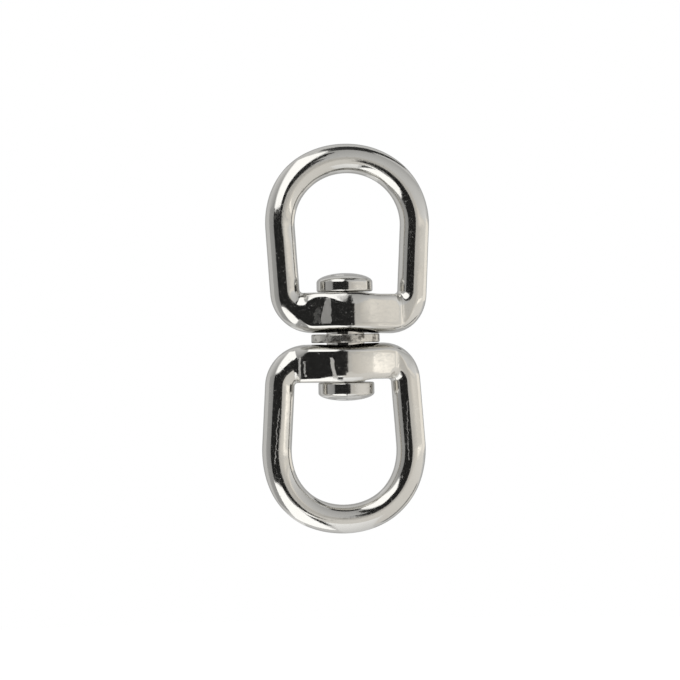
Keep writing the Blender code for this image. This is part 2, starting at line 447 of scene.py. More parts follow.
highest_waves = [hammer(upper_mesh, UPPER_NOISE_START), hammer(lower_mesh, LOWER_NOISE_START)]
print("highest waves in mm:", [round(height / MM, 3) for height in highest_waves])

# %% [markdown]
# ## Turning and smoothing
# Pin, collars, washer and the plug that bores the eyes are all turned: one profile, spun round the
# axis. Blender's own cylinders have straight sides, so the Screw modifier does the spinning and is then
# applied, and a plain mesh is left. Smooth shading keeps every edge that is sharper than a limit.

# %% A lathe and an even finish
TURN_STEPS = 128
MERGE_DISTANCE = 0.001 * MM
SMOOTH_LIMIT = math.radians(40)
NORMAL_WEIGHT = 80


def apply_modifiers(obj):
    """Leave a plain mesh in place of an object's modifiers."""
    graph = bpy.context.evaluated_depsgraph_get()
    mesh = bpy.data.meshes.new_from_object(obj.evaluated_get(graph))
    mesh.name = obj.name
    obj.modifiers.clear()
    obj.data = mesh
    return obj


def turned_mesh(name, profile, closed, steps=TURN_STEPS):
    """Spin (radius, height) points round the Z axis."""
    count = len(profile)
    edges = [(i, i + 1) for i in range(count - 1)] + ([(count - 1, 0)] if closed else [])
    chain = bpy.data.meshes.new(name)
    chain.from_pydata([(r, 0.0, z) for r, z in profile], edges, [])
    obj = bpy.data.objects.new(name, chain)
    bpy.context.scene.collection.objects.link(obj)
    screw = obj.modifiers.new("turned", "SCREW")
    screw.angle = math.tau
    screw.steps = steps
    screw.render_steps = steps
    screw.use_merge_vertices = True
    screw.merge_threshold = MERGE_DISTANCE
    return apply_modifiers(obj)


def finish_surface(obj):
    """Smooth shading that keeps flats flat and edges crisp."""
    obj.data.shade_smooth()
    obj.data.set_sharp_from_angle(angle=SMOOTH_LIMIT)
    weighted = obj.modifiers.new("even_normals", "WEIGHTED_NORMAL")
    weighted.keep_sharp = True
    weighted.weight = NORMAL_WEIGHT


print("steps round a turned piece:", TURN_STEPS)

# %% [markdown]
# ## Bore
# The yokes are drilled for the pin with plenty of play, so on the real swivel each eye has slipped a
# little to one side. Drilling is what a Boolean is for: a turned plug is taken away from the yoke, and
# the eye then moves to where it came to rest.

# %% Bore the eyes and let them settle
PIN_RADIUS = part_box("swivel_pin")[1].x
BORE_PLAY = 1.0 * MM
BORE_RADIUS = PIN_RADIUS + BORE_PLAY
BORE_ENDS = (-1.0 * MM, 20.0 * MM)
BORE_STEPS = 96
UPPER_SETTLED = (0.88 * MM, 0.0, -0.12 * MM)
LOWER_SETTLED = (-0.68 * MM, 0.0, -0.18 * MM)


def bored_eye(mesh, flip, settled):
    eye = bpy.data.objects.new(mesh.name, mesh)
    bpy.context.scene.collection.objects.link(eye)
    low, high = BORE_ENDS
    plug = [(0.0, high), (BORE_RADIUS, high), (BORE_RADIUS, low), (0.0, low)]
    cutter = turned_mesh("cutter", plug, False, BORE_STEPS)
    cut = eye.modifiers.new("bore", "BOOLEAN")
    cut.object = cutter
    cut.solver = "EXACT"
    bpy.context.view_layer.update()
    apply_modifiers(eye)
    bpy.data.objects.remove(cutter)
    eye.data.transform(Matrix.Rotation(flip, 4, "X"))
    eye.data.transform(Matrix.Translation(settled))
    finish_surface(eye)
    return eye


upper_eye = bored_eye(upper_mesh, 0.0, UPPER_SETTLED)
lower_eye = bored_eye(lower_mesh, math.pi, LOWER_SETTLED)
print("eye faces:", len(upper_eye.data.polygons), len(lower_eye.data.polygons))

# %% [markdown]
# ## Domes and rounded corners
# Both pin ends and both collars are domed, and every corner of a turned profile is a small arc,
# because a real turned edge is never sharp and the arc is what catches the light. A Bevel modifier
# could round the corners, but in the profile they stay even all the way round.

# %% Points on domes and rounded corners
ARC_STEPS = 5
ARC_SHARE = 0.45
PIN_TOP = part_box("swivel_pin")[1].z
COLLAR_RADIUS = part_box("upper_collar")[1].x
UPPER_DOME = 2.0 * MM
LOWER_DOME = 1.66 * MM
COLLAR_RIM_Z = PIN_TOP - UPPER_DOME


def rounded(corners, radius):
    """A (radius, height) chain whose inner corners are arcs."""
    points = [Vector(corners[0])]
    for before, corner, after in zip(corners, corners[1:], corners[2:]):
        corner = Vector(corner)
        back = Vector(before) - corner
        ahead = Vector(after) - corner
        size = min(radius, ARC_SHARE * back.length, ARC_SHARE * ahead.length)
        start = corner + back.normalized() * size
        end = corner + ahead.normalized() * size
        for index in range(ARC_STEPS + 1):
            t = index / ARC_STEPS
            points.append(start.lerp(corner, t).lerp(corner.lerp(end, t), t))
    points.append(Vector(corners[-1]))
    return [(point.x, point.y) for point in points]


def dome_z(radius, dome):
    return COLLAR_RIM_Z + dome * math.sqrt(max(1 - (radius / COLLAR_RADIUS) ** 2, 0.0))


def dome_chain(start, end, steps, dome):
    """Points on the domed top from one radius out to another."""
    first = math.acos(start / COLLAR_RADIUS)
    last = math.acos(end / COLLAR_RADIUS)
    angles = [first + (last - first) * index / steps for index in range(steps + 1)]
    radii = [COLLAR_RADIUS * math.cos(angle) for angle in angles]
    return [(radius, dome_z(radius, dome)) for radius in radii]


print("domes start at mm:", round(COLLAR_RIM_Z / MM, 2))

# %% [markdown]
# ## Pin
# The pin is turned, its ends pass through the two collars, and each end is hammered over like a rivet.
# A cylinder would do from a step away, but a spun profile also gives the dome and the fine ring where
# pin and collar meet. The lower end was hammered flatter, so each end has a dome of its own.

# %% The riveted pin
UPPER_FOOT_Z = 9.65 * MM
LOWER_FOOT_Z = 9.35 * MM
RIVET_RADIUS = 4.0 * MM
RIVET_STEPS = 16
RIVET_CORE_DEPTH = 1.5 * MM
TAIL_RADIUS = 2.75 * MM
RIVET_GAP = 0.06 * MM
RIM_CHAMFER = 0.1 * MM
RIVET_BEVEL = 1.5 * RIM_CHAMFER
PIN_ROUND = 0.12 * MM


def pin_half(dome, foot_z):
    """Half of the pin's profile, from the middle of its hammered end to its shank."""
    crown = dome_chain(0.0, RIVET_RADIUS - RIM_CHAMFER, RIVET_STEPS, dome)
    seat = foot_z - RIVET_GAP
    shank = [
        crown[-1],
        (RIVET_RADIUS, dome_z(RIVET_RADIUS, dome) - RIVET_BEVEL),
        (TAIL_RADIUS, dome_z(RIVET_RADIUS, dome) - RIVET_CORE_DEPTH),
        (TAIL_RADIUS, seat),
        (PIN_RADIUS, seat),
        (PIN_RADIUS, 0.0),
    ]
    return crown + rounded(shank, PIN_ROUND)[1:-1]


def pin_piece():
    upper = pin_half(UPPER_DOME, UPPER_FOOT_Z)
    lower = [(r, -z) for r, z in reversed(pin_half(LOWER_DOME, LOWER_FOOT_Z))]
    piece = turned_mesh("riveted_pin", upper + lower, False)
    finish_surface(piece)
    return piece


pin = pin_piece()
print("pin faces:", len(pin.data.polygons))

# %% [markdown]
# ## Collars
# A collar is a thick ring, domed on top and countersunk so that the hammered end of the pin fills it.
# It could be one lump with the pin, but it is a piece of its own on the real swivel, and the hair-thin
# gap between the two shows as a dark ring. The lower collar reaches closer to the pin's middle.

# %% The two collars
COLLAR_STEPS = 24
COLLAR_ROUND = 0.45 * MM


def collar_piece(name, flip, dome, foot_z):
    hole = RIVET_RADIUS + RIVET_GAP
    tail_hole = TAIL_RADIUS + RIVET_GAP
    lip = hole + RIM_CHAMFER
    side = [
        (COLLAR_RADIUS, COLLAR_RIM_Z),
        (COLLAR_RADIUS, foot_z),
        (tail_hole, foot_z),
        (tail_hole, dome_z(hole, dome) - RIVET_CORE_DEPTH + RIVET_GAP),
        (hole, dome_z(hole, dome) - RIM_CHAMFER),
        (lip, dome_z(lip, dome)),
    ]
    top = dome_chain(lip, COLLAR_RADIUS, COLLAR_STEPS, dome)
    collar = turned_mesh(name, top + rounded(side, COLLAR_ROUND)[1:-1], True)
    collar.data.transform(Matrix.Rotation(flip, 4, "X"))
    finish_surface(collar)
    return collar


upper_collar = collar_piece("upper_pin_collar", 0.0, UPPER_DOME, UPPER_FOOT_Z)
lower_collar = collar_piece("lower_pin_collar", math.pi, LOWER_DOME, LOWER_FOOT_Z)
print("collar faces:", [len(collar.data.polygons) for collar in (upper_collar, lower_collar)])

# %% [markdown]
# ## Washer
# A loose steel washer keeps the two yokes apart while they turn under load. It is a plain ring with
# broken edges, so it is spun like the collars, and it lies on the lower yoke as its weight makes it.

# %% Turned washer
WASHER_BORE_RADIUS = PIN_RADIUS + RUNNING_GAP
WASHER_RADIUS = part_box("thrust_washer")[1].x
WASHER_HALF = 0.9 * MM
WASHER_SETTLED = (0.0, 0.0, -0.13 * MM)
WASHER_EDGE = 0.3 * MM


def washer_piece():
    corners = [
        (WASHER_BORE_RADIUS, 0.0),
        (WASHER_BORE_RADIUS, WASHER_HALF),
        (WASHER_RADIUS, WASHER_HALF),
        (WASHER_RADIUS, 0.0),
    ]
    half = rounded(corners, WASHER_EDGE)
    lower = [(r, -z) for r, z in reversed(half[1:-1])]
    piece = turned_mesh("turned_washer", half + lower, True)
    piece.data.transform(Matrix.Translation(WASHER_SETTLED))
    finish_surface(piece)
    return piece


washer = washer_piece()
print("washer faces:", len(washer.data.polygons))

# %% [markdown]
# ## Colours and nodes
# A colour picked from a picture is an sRGB value, but shaders count light, so one function turns hex
# values to linear ones. Materials here are built by code, and one small function that adds a node with
# its settings and links keeps that short.

# %% A helper for colours and one for nodes
MIDDLE_GREY = "#808080"


def linear(hex_colour):
    """An sRGB hex colour as the linear values that shaders use."""
    values = [int(hex_colour[i : i + 2], 16) / 255 for i in (1, 3, 5)]
    return [v / 12.92 if v <= 0.04045 else ((v + 0.055) / 1.055) ** 2.4 for v in values] + [1.0]


def add_node(tree, kind, settings, links=None):
    """Add a node; settings name its inputs or attributes, and links say what feeds its inputs."""
    node = tree.nodes.new(kind)
    for name, value in settings.items():
        if isinstance(name, int) or name in node.inputs:
            node.inputs[name].default_value = value
        else:
            setattr(node, name, value)
    for name, source in (links or {}).items():
        tree.links.new(source, node.inputs[name])
    return node


def begin_metal(name):
    """A metallic material, its node tree, its shader and its object coordinates."""
    material = bpy.data.materials.new(name)
    material.use_nodes = True
    shader = material.node_tree.nodes["Principled BSDF"]
    shader.inputs["Metallic"].default_value = 1.0
    place = add_node(material.node_tree, "ShaderNodeTexCoord", {}).outputs["Object"]
    return material, material.node_tree, shader, place


print("middle grey in linear values:", [round(v, 3) for v in linear(MIDDLE_GREY)])

# %% [markdown]
# ## Rubbed streaks
# Bright plate is soft, and where a chain or a buffing wheel has rubbed it the mirror is gone: dull
# streaks run down the front of both yokes and along the lower legs. They could be painted with an
# image, but a distance from a slanting line, disturbed by a noise, draws a ragged streak at any size.

# %% Streaks in the polish
RUB_EDGE = 0.12 * MM
FRONT_Y = -1.5 * MM


@dataclass
class Rub:
    """A streak round the line x = centre + lean * z that strays by wander, between two heights.

    It reaches half_width + growth * z to each side of that line.
    """

    centre: float
    lean: float
    half_width: float
    growth: float
    heights: tuple
    wander: float
    roughness: float


RUBS = (
    Rub(-5.5 * MM, 0.14, 1.55 * MM, -0.137, (3.0 * MM, 8.3 * MM), 0.6 * MM, 0.38),
    Rub(-6.9 * MM, 0.1, 0.3 * MM, 0.0, (3.0 * MM, 6.4 * MM), 2.0 * MM, 0.22),
    Rub(-5.04 * MM, -0.214, 0.28 * MM, 0.0, (-8.4 * MM, -4.1 * MM), 0.6 * MM, 0.66),
    Rub(-10.3 * MM, 0.0, 0.16 * MM, 0.0, (-8.1 * MM, -4.0 * MM), 0.3 * MM, 0.55),
    Rub(-9.3 * MM, 0.0, 0.08 * MM, 0.0, (-8.0 * MM, -4.8 * MM), 0.8 * MM, 0.5),
    Rub(-13.3 * MM, 0.1, 0.06 * MM, 0.0, (-26.0 * MM, -14.5 * MM), 0.6 * MM, 0.42),
    Rub(12.0 * MM, -0.021, 0.04 * MM, 0.0, (-26.0 * MM, -13.5 * MM), 0.5 * MM, 0.36),
)


def rub_mask(tree, axes, ragged, rub):
    """1 inside a streak on the front of the part, 0 outside it."""
    low, high = rub.heights
    stray = add_node(
        tree,
        "ShaderNodeMapRange",
        {"To Min": rub.centre - rub.wander, "To Max": rub.centre + rub.wander},
        {"Value": ragged},
    )
    line = add_node(
        tree,
        "ShaderNodeMath",
        {"operation": "MULTIPLY_ADD", 1: rub.lean},
        {0: axes["Z"], 2: stray.outputs["Result"]},
    )
    offset = add_node(
        tree,
        "ShaderNodeMath",
        {"operation": "SUBTRACT"},
        {0: axes["X"], 1: line.outputs[0]},
    )
    away = add_node(tree, "ShaderNodeMath", {"operation": "ABSOLUTE"}, {0: offset.outputs[0]})
    reach = add_node(
        tree,
        "ShaderNodeMath",
        {"operation": "MULTIPLY_ADD", 1: rub.growth, 2: rub.half_width},
        {0: axes["Z"]},
    )
    past = add_node(
        tree,
        "ShaderNodeMath",
        {"operation": "SUBTRACT"},
        {0: away.outputs[0], 1: reach.outputs[0]},
    )
    inside = add_node(
        tree,
        "ShaderNodeMapRange",
        {"From Min": 0.0, "From Max": RUB_EDGE, "To Min": 1.0, "To Max": 0.0},
        {"Value": past.outputs[0]},
    )
    between = add_node(
        tree,
        "ShaderNodeMath",
        {"operation": "COMPARE", 1: (low + high) / 2, 2: (high - low) / 2},
        {0: axes["Z"]},
    )
    front = add_node(
        tree,
        "ShaderNodeMath",
        {"operation": "LESS_THAN", 1: FRONT_Y},
        {0: axes["Y"]},
    )
    here = add_node(
        tree,
        "ShaderNodeMath",
        {"operation": "MULTIPLY"},
        {0: between.outputs[0], 1: front.outputs[0]},
    )
    mask = add_node(
        tree,
        "ShaderNodeMath",
        {"operation": "MULTIPLY"},
        {0: inside.outputs["Result"], 1: here.outputs[0]},
    )
    return mask.outputs[0]


print("streaks:", len(RUBS))

# %% [markdown]
# ## Polish
# A buffed plate is not equally smooth all over: its polish varies from spot to spot, fine specks are
# dull, and the streaks are duller still. One value for the roughness would look drawn. A noise spreads
# it over a range instead, the noise's peaks make the specks, and each streak is mixed in on top.

# %% Polish of the plate
POLISH_GRAIN = 0.6 * MM
NOISE_SPAN = (0.35, 0.75)
PLATE_POLISH = (0.08, 0.15)
SPECK_SPAN = (0.64, 0.72)
SPECK_ROUGHNESS = 0.28
RAGGED_SIZE = 1.4 * MM


def plate_roughness(tree, place):
    """Polish that varies a little, and is lost where the plate is rubbed."""
    grain = add_node(
        tree,
        "ShaderNodeTexNoise",
        {"Scale": 1 / POLISH_GRAIN, "Detail": 3.0},
        {"Vector": place},
    )
    polish = add_node(
        tree,
        "ShaderNodeMapRange",
        {
            "From Min": NOISE_SPAN[0],
            "From Max": NOISE_SPAN[1],
            "To Min": PLATE_POLISH[0],
            "To Max": PLATE_POLISH[1],
        },
        {"Value": grain.outputs["Fac"]},
    )
    ragged = add_node(
        tree,
        "ShaderNodeTexNoise",
        {"Scale": 1 / RAGGED_SIZE, "Detail": 6.0, "Roughness": 0.65},
        {"Vector": place},
    )
    axes = add_node(tree, "ShaderNodeSeparateXYZ", {}, {"Vector": place}).outputs
    specks = add_node(
        tree,
        "ShaderNodeMapRange",
        {"From Min": SPECK_SPAN[0], "From Max": SPECK_SPAN[1]},
        {"Value": grain.outputs["Fac"]},
    )
    speckled = add_node(
        tree,
        "ShaderNodeMix",
        {"data_type": "FLOAT", 3: SPECK_ROUGHNESS},
        {0: specks.outputs["Result"], 2: polish.outputs["Result"]},
    )
    rough = speckled.outputs[0]
    for rub in RUBS:
        mask = rub_mask(tree, axes, ragged.outputs["Fac"], rub)
        mixed = add_node(
            tree,
            "ShaderNodeMix",
            {"data_type": "FLOAT", 3: rub.roughness},
            {0: mask, 2: rough},
        )
        rough = mixed.outputs[0]
    return rough


print("roughness of the polish:", PLATE_POLISH, "and of its specks:", SPECK_ROUGHNESS)

# %% [markdown]
# ## Skin
# Under the polish the plate is not quite even: slow waves from polishing by hand, a fine orange-peel
# skin, and a few pinholes where the forged skin was not closed under the plate. All three are far
# finer than the mesh, so bumps draw them, each one laid on the one before.

# %% Skin of the plate
WAVE_SIZE = 2.2 * MM
WAVE_DEPTH = 0.012 * MM
PEEL_SIZE = 0.55 * MM
PEEL_DEPTH = 0.004 * MM
PIT_SPACING = 1.5 * MM
PIT_RADIUS = 0.1 * MM
PIT_DEPTH = 0.02 * MM


def plate_skin(tree, place):
    """The normal of the plate: waves, then orange peel, then pinholes."""
    slow = add_node(
        tree,
        "ShaderNodeTexNoise",
        {"Scale": 1 / WAVE_SIZE, "Detail": 1.0},
        {"Vector": place},
    )
    waves = add_node(
        tree,
        "ShaderNodeBump",
        {"Strength": 1.0, "Distance": WAVE_DEPTH},
        {"Height": slow.outputs["Fac"]},
    )
    fine = add_node(
        tree,
        "ShaderNodeTexNoise",
        {"Scale": 1 / PEEL_SIZE, "Detail": 2.0},
        {"Vector": place},
    )
    peel = add_node(
        tree,
        "ShaderNodeBump",
        {"Strength": 1.0, "Distance": PEEL_DEPTH},
        {"Height": fine.outputs["Fac"], "Normal": waves.outputs["Normal"]},
    )
    cells = add_node(tree, "ShaderNodeTexVoronoi", {"Scale": 1 / PIT_SPACING}, {"Vector": place})
    hollow = add_node(
        tree,
        "ShaderNodeMapRange",
        {"From Min": 0.0, "From Max": PIT_RADIUS / PIT_SPACING},
        {"Value": cells.outputs["Distance"]},
    )
    pits = add_node(
        tree,
        "ShaderNodeBump",
        {"Strength": 1.0, "Distance": PIT_DEPTH},
        {"Height": hollow.outputs["Result"], "Normal": peel.outputs["Normal"]},
    )
    return pits.outputs["Normal"]


print("depth of waves, peel and pinholes in mm:", [d / MM for d in (WAVE_DEPTH, PEEL_DEPTH, PIT_DEPTH)])

# %% [markdown]
# ## Nickel plate on forged steel
# Bright nickel is a mirror with a slightly warm grey colour that clouds a little from place to place.
# A plain metal of one colour would do from afar, but two close greys, mixed by a slow noise, keep the
# large bright faces alive. The eyes get this plate with the polish and the skin from above.

# %% Nickel plate
NICKEL_LIGHT = "#d8d7d3"
NICKEL_CLOUD = "#d2d0cb"
CLOUD_SIZE = 4.0 * MM


def nickel_tint(tree, place, cloud_size):
    """Two close greys, mixed by a slow noise."""
    clouds = add_node(
        tree,
        "ShaderNodeTexNoise",
        {"Scale": 1 / cloud_size, "Detail": 3.0},
        {"Vector": place},
    )
    tint = add_node(
        tree,
        "ShaderNodeMix",
        {"data_type": "RGBA", 6: linear(NICKEL_LIGHT), 7: linear(NICKEL_CLOUD)},
        {0: clouds.outputs["Fac"]},
    )
    return tint.outputs[2]


def nickel_plate(name):
    """Electroplated nickel, buffed: a warm grey mirror that clouds and ripples a little."""
    material, tree, shader, place = begin_metal(name)
    tree.links.new(nickel_tint(tree, place, CLOUD_SIZE), shader.inputs["Base Color"])
    tree.links.new(plate_roughness(tree, place), shader.inputs["Roughness"])
    tree.links.new(plate_skin(tree, place), shader.inputs["Normal"])
    return material


nickel = nickel_plate("nickel_plate_on_forged_steel")
for piece in (upper_eye, lower_eye):
    piece.data.materials.clear()
    piece.data.materials.append(nickel)
print("eyes:", nickel.name, len(nickel.node_tree.nodes), "nodes")

# %% [markdown]
# ## Nickel plate on turned steel
# The pin and its collars have the same plate, but it covers fine rings from the lathe tool. A noise
# read from the radius and the height alone, the same all the way round, draws rings on domes and on
# sides alike. Real rings are a few hundredths of a millimetre apart, too fine to show here, so they
# are drawn about five times as coarse. The front of the lower collar is also scuffed, like the yokes.

# %% Turned nickel
RING_SPACING = 0.22 * MM
RING_DEPTH = 0.0016 * MM
TURNED_POLISH = (0.09, 0.17)
SMALL_CLOUD_SIZE = 2.2 * MM
DENT_SIZE = 0.7 * MM
COLLAR_RUB = Rub(2.7 * MM, 0.0, 1.6 * MM, 0.0, (-11.6 * MM, -9.6 * MM), 1.2 * MM, 0.4)


def turned_nickel(name):
    """Nickel plate over lathe rings: a mirror that is faintly combed across the axis."""
    material, tree, shader, place = begin_metal(name)
    axes = add_node(tree, "ShaderNodeSeparateXYZ", {}, {"Vector": place}).outputs
    flat = add_node(
        tree,
        "ShaderNodeVectorMath",
        {"operation": "MULTIPLY", 1: (1.0, 1.0, 0.0)},
        {0: place},
    )
    radius = add_node(
        tree,
        "ShaderNodeVectorMath",
        {"operation": "LENGTH"},
        {0: flat.outputs["Vector"]},
    )
    around = add_node(
        tree,
        "ShaderNodeCombineXYZ",
        {},
        {"X": radius.outputs["Value"], "Z": axes["Z"]},
    )
    rings = add_node(
        tree,
        "ShaderNodeTexNoise",
        {"Scale": 1 / RING_SPACING, "Detail": 2.0},
        {"Vector": around.outputs["Vector"]},
    )
    combed = add_node(
        tree,
        "ShaderNodeBump",
        {"Strength": 1.0, "Distance": RING_DEPTH},
        {"Height": rings.outputs["Fac"]},
    )
    polish = add_node(
        tree,
        "ShaderNodeMapRange",
        {
            "From Min": NOISE_SPAN[0],
            "From Max": NOISE_SPAN[1],
            "To Min": TURNED_POLISH[0],
            "To Max": TURNED_POLISH[1],
        },
        {"Value": rings.outputs["Fac"]},
    )
    ragged = add_node(
        tree,
        "ShaderNodeTexNoise",
        {"Scale": 1 / DENT_SIZE, "Detail": 4.0},
        {"Vector": place},
    )
    scuff = rub_mask(tree, axes, ragged.outputs["Fac"], COLLAR_RUB)
    rough = add_node(
        tree,
        "ShaderNodeMix",
        {"data_type": "FLOAT", 3: COLLAR_RUB.roughness},
        {0: scuff, 2: polish.outputs["Result"]},
    )
    tree.links.new(nickel_tint(tree, place, SMALL_CLOUD_SIZE), shader.inputs["Base Color"])
    tree.links.new(rough.outputs[0], shader.inputs["Roughness"])
    tree.links.new(combed.outputs["Normal"], shader.inputs["Normal"])
    return material


turned = turned_nickel("nickel_plate_on_turned_steel")
for piece in (pin, upper_collar, lower_collar):
    piece.data.materials.clear()
    piece.data.materials.append(turned)
print("pin and collars:", turned.name, len(turned.node_tree.nodes), "nodes")

# %% [markdown]
# ## Scuffed steel
# The washer carries the load, so any plate is worn off it and its rim is scuffed, with dark grime in
# places. It could be painted, but a threshold on a noise gives patches of grime with clear edges, and
# a second noise the dents.

# %% Scuffed steel
STEEL_BARE = "#c6c4be"
STEEL_GRIME = "#605d58"
GRIME_SIZE = 1.3 * MM
GRIME_SPAN = (0.47, 0.61)
BARE_ROUGHNESS = 0.24
GRIME_ROUGHNESS = 0.36
DENT_DEPTH = 0.05 * MM


def scuffed_steel(name):
    """Turned steel, bare and worn: grey, half dull, patched with grime."""
    material, tree, shader, place = begin_metal(name)
    patches = add_node(
        tree,
        "ShaderNodeTexNoise",
        {"Scale": 1 / GRIME_SIZE, "Detail": 4.0},
        {"Vector": place},
    )
    grime = add_node(
        tree,
        "ShaderNodeMapRange",
        {"From Min": GRIME_SPAN[0], "From Max": GRIME_SPAN[1]},
        {"Value": patches.outputs["Fac"]},
    )
    tint = add_node(
        tree,
        "ShaderNodeMix",
        {"data_type": "RGBA", 6: linear(STEEL_BARE), 7: linear(STEEL_GRIME)},
        {0: grime.outputs["Result"]},
    )
    rough = add_node(
        tree,
        "ShaderNodeMapRange",
        {"To Min": BARE_ROUGHNESS, "To Max": GRIME_ROUGHNESS},
        {"Value": grime.outputs["Result"]},
    )
    scuffs = add_node(
        tree,
        "ShaderNodeTexNoise",
        {"Scale": 1 / DENT_SIZE, "Detail": 3.0},
        {"Vector": place},
    )
    dents = add_node(
        tree,
        "ShaderNodeBump",
        {"Strength": 1.0, "Distance": DENT_DEPTH},
        {"Height": scuffs.outputs["Fac"]},
    )
    tree.links.new(tint.outputs[2], shader.inputs["Base Color"])
    tree.links.new(rough.outputs["Result"], shader.inputs["Roughness"])
    tree.links.new(dents.outputs["Normal"], shader.inputs["Normal"])
    return material


steel = scuffed_steel("scuffed_turned_steel")
washer.data.materials.clear()
washer.data.materials.append(steel)
print("washer:", steel.name, len(steel.node_tree.nodes), "nodes")

# %% [markdown]
# ## Floor and world
# The photograph has a plain white ground. Stronger light would whiten a floor too, but the light is
# kept at a plain level. So a pale paper floor far below the swivel and a white world give the ground,
# and the floor shines a little to the camera, to mirrors and through glass, while it still takes a
# shadow.

# %% Floor and world
FLOOR_Z = -0.9
FLOOR_RADIUS = 6.0
FLOOR_SEGMENTS = 96
PAPER = 0.85
PAPER_LIFT = 0.2
WHITE_LIGHT = (1.0, 1.0, 1.0, 1.0)

world = bpy.data.worlds.new("studio")
bpy.context.scene.world = world
world.use_nodes = True
sky = world.node_tree.nodes["Background"]
sky.inputs["Color"].default_value = WHITE_LIGHT
sky.inputs["Strength"].default_value = 1.0

floor_shape = bmesh.new()
bmesh.ops.create_circle(floor_shape, cap_ends=True, segments=FLOOR_SEGMENTS, radius=FLOOR_RADIUS)
floor_mesh = bpy.data.meshes.new("floor")
floor_shape.to_mesh(floor_mesh)
floor_shape.free()
floor = bpy.data.objects.new("floor", floor_mesh)
bpy.context.scene.collection.objects.link(floor)
floor.location.z = FLOOR_Z

paper = bpy.data.materials.new("white_paper")
paper.use_nodes = True
paper_tree = paper.node_tree
paper_shader = paper_tree.nodes["Principled BSDF"]
paper_shader.inputs["Base Color"].default_value = (PAPER, PAPER, PAPER, 1.0)
paper_shader.inputs["Roughness"].default_value = 1.0
paper_shader.inputs["Specular IOR Level"].default_value = 0.0
rays = add_node(paper_tree, "ShaderNodeLightPath", {}).outputs
direct = add_node(
    paper_tree,
    "ShaderNodeMath",
    {"operation": "MAXIMUM"},
    {0: rays["Is Camera Ray"], 1: rays["Is Glossy Ray"]},
)
seen = add_node(
    paper_tree,
    "ShaderNodeMath",
    {"operation": "MAXIMUM"},
    {0: direct.outputs[0], 1: rays["Is Transmission Ray"]},
)
lift = add_node(
    paper_tree,
    "ShaderNodeMath",
    {"operation": "MULTIPLY", 1: PAPER_LIFT},
    {0: seen.outputs[0]},
)
paper_shader.inputs["Emission Color"].default_value = WHITE_LIGHT
paper_tree.links.new(lift.outputs[0], paper_shader.inputs["Emission Strength"])
floor.data.materials.append(paper)
print("floor:", floor.name, "at", FLOOR_Z)

# %% [markdown]
# ## Studio cards
# A mirror shows the room, so the room is half of the picture. Real studios put white and black cards
# round a shiny thing until its reflections read well. Lamps would light the floor too, so here each
# card is a patch of a sphere round the swivel that only reflections see. Its corners are given as a
# mirror ball would show them, in degrees right of and above the ball's middle, because that is how
# they were read from the photograph.

# %% A card that only reflections see
CARD_STEPS = 16
NEUTRAL = "#ffffff"
cards = []


def mirror_ball(right, up):
    """The direction that a mirror ball shows at this angle from its middle, in degrees."""
    turn = math.hypot(right, up)
    if turn == 0:
        return towards_camera.copy()
    across = (camera_right * right + Vector((0, 0, up))) / turn
    return towards_camera * math.cos(math.radians(turn)) + across * math.sin(math.radians(turn))


def glow(name, shape, tint=NEUTRAL):
    """Show a shape to reflections alone; its own attribute says how bright each point is."""
    mesh = bpy.data.meshes.new(name)
    shape.to_mesh(mesh)
    shape.free()
    material = bpy.data.materials.new(name)
    material.use_nodes = True
    tree = material.node_tree
    shader = tree.nodes["Principled BSDF"]
    shader.inputs["Base Color"].default_value = (0.0, 0.0, 0.0, 1.0)
    shader.inputs["Specular IOR Level"].default_value = 0.0
    shader.inputs["Emission Color"].default_value = linear(tint)
    level = add_node(tree, "ShaderNodeAttribute", {"attribute_name": "level"})
    tree.links.new(level.outputs["Fac"], shader.inputs["Emission Strength"])
    mesh.materials.append(material)
    obj = bpy.data.objects.new(name, mesh)
    bpy.context.scene.collection.objects.link(obj)
    obj.visible_camera = False
    obj.visible_diffuse = False
    obj.visible_shadow = False


def even_glow(name, shape, level):
    """A shape that glows at one level all over."""
    layer = shape.verts.layers.float.new("level")
    for vertex in shape.verts:
        vertex[layer] = level
    glow(name, shape)


def card(name, radius, corners, levels, tint=NEUTRAL):
    """A patch between four mirror-ball corners: low left, low right, high right, high left.

    Each corner has a level of brightness, or else the left side has one and the right side another.
    """
    levels = levels if len(levels) == 4 else (levels[0], levels[1], levels[1], levels[0])
    low_left, low_right, high_right, high_left = [Vector(corner) for corner in corners]
    shape = bmesh.new()
    layer = shape.verts.layers.float.new("level")
    grid = []
    for row in range(CARD_STEPS + 1):
        start = low_left.lerp(high_left, row / CARD_STEPS)
        end = low_right.lerp(high_right, row / CARD_STEPS)
        line = []
        for column in range(CARD_STEPS + 1):
            share = column / CARD_STEPS
            vertex = shape.verts.new(mirror_ball(*start.lerp(end, share)) * radius)
            low = levels[0] + (levels[1] - levels[0]) * share
            high = levels[3] + (levels[2] - levels[3]) * share
            vertex[layer] = low + (high - low) * row / CARD_STEPS
            line.append(vertex)
        grid.append(line)
    for low, high in zip(grid, grid[1:]):
        for index in range(CARD_STEPS):
            shape.faces.new((low[index], low[index + 1], high[index + 1], high[index]))
    glow(name, shape, tint)
    cards.append(name)


def box_corners(left, right, low, high):
    return ((left, low), (right, low), (right, high), (left, high))


print("faces in a card:", CARD_STEPS**2)

# %% [markdown]
# ## Grey room
# Between the cards a mirror shows the rest of the room. The world could stand for it, but the world has
# to be white for the camera, so a grey sphere behind all cards is the room for reflections.

# %% The grey room behind all cards
ROOM_RADIUS = 0.8
ROOM_LEVEL = 0.7
ROOM_SEGMENTS = 48
ROOM_RINGS = 24

room = bmesh.new()
bmesh.ops.create_uvsphere(room, u_segments=ROOM_SEGMENTS, v_segments=ROOM_RINGS, radius=ROOM_RADIUS)
even_glow("room", room, ROOM_LEVEL)
print("room radius in m:", ROOM_RADIUS)

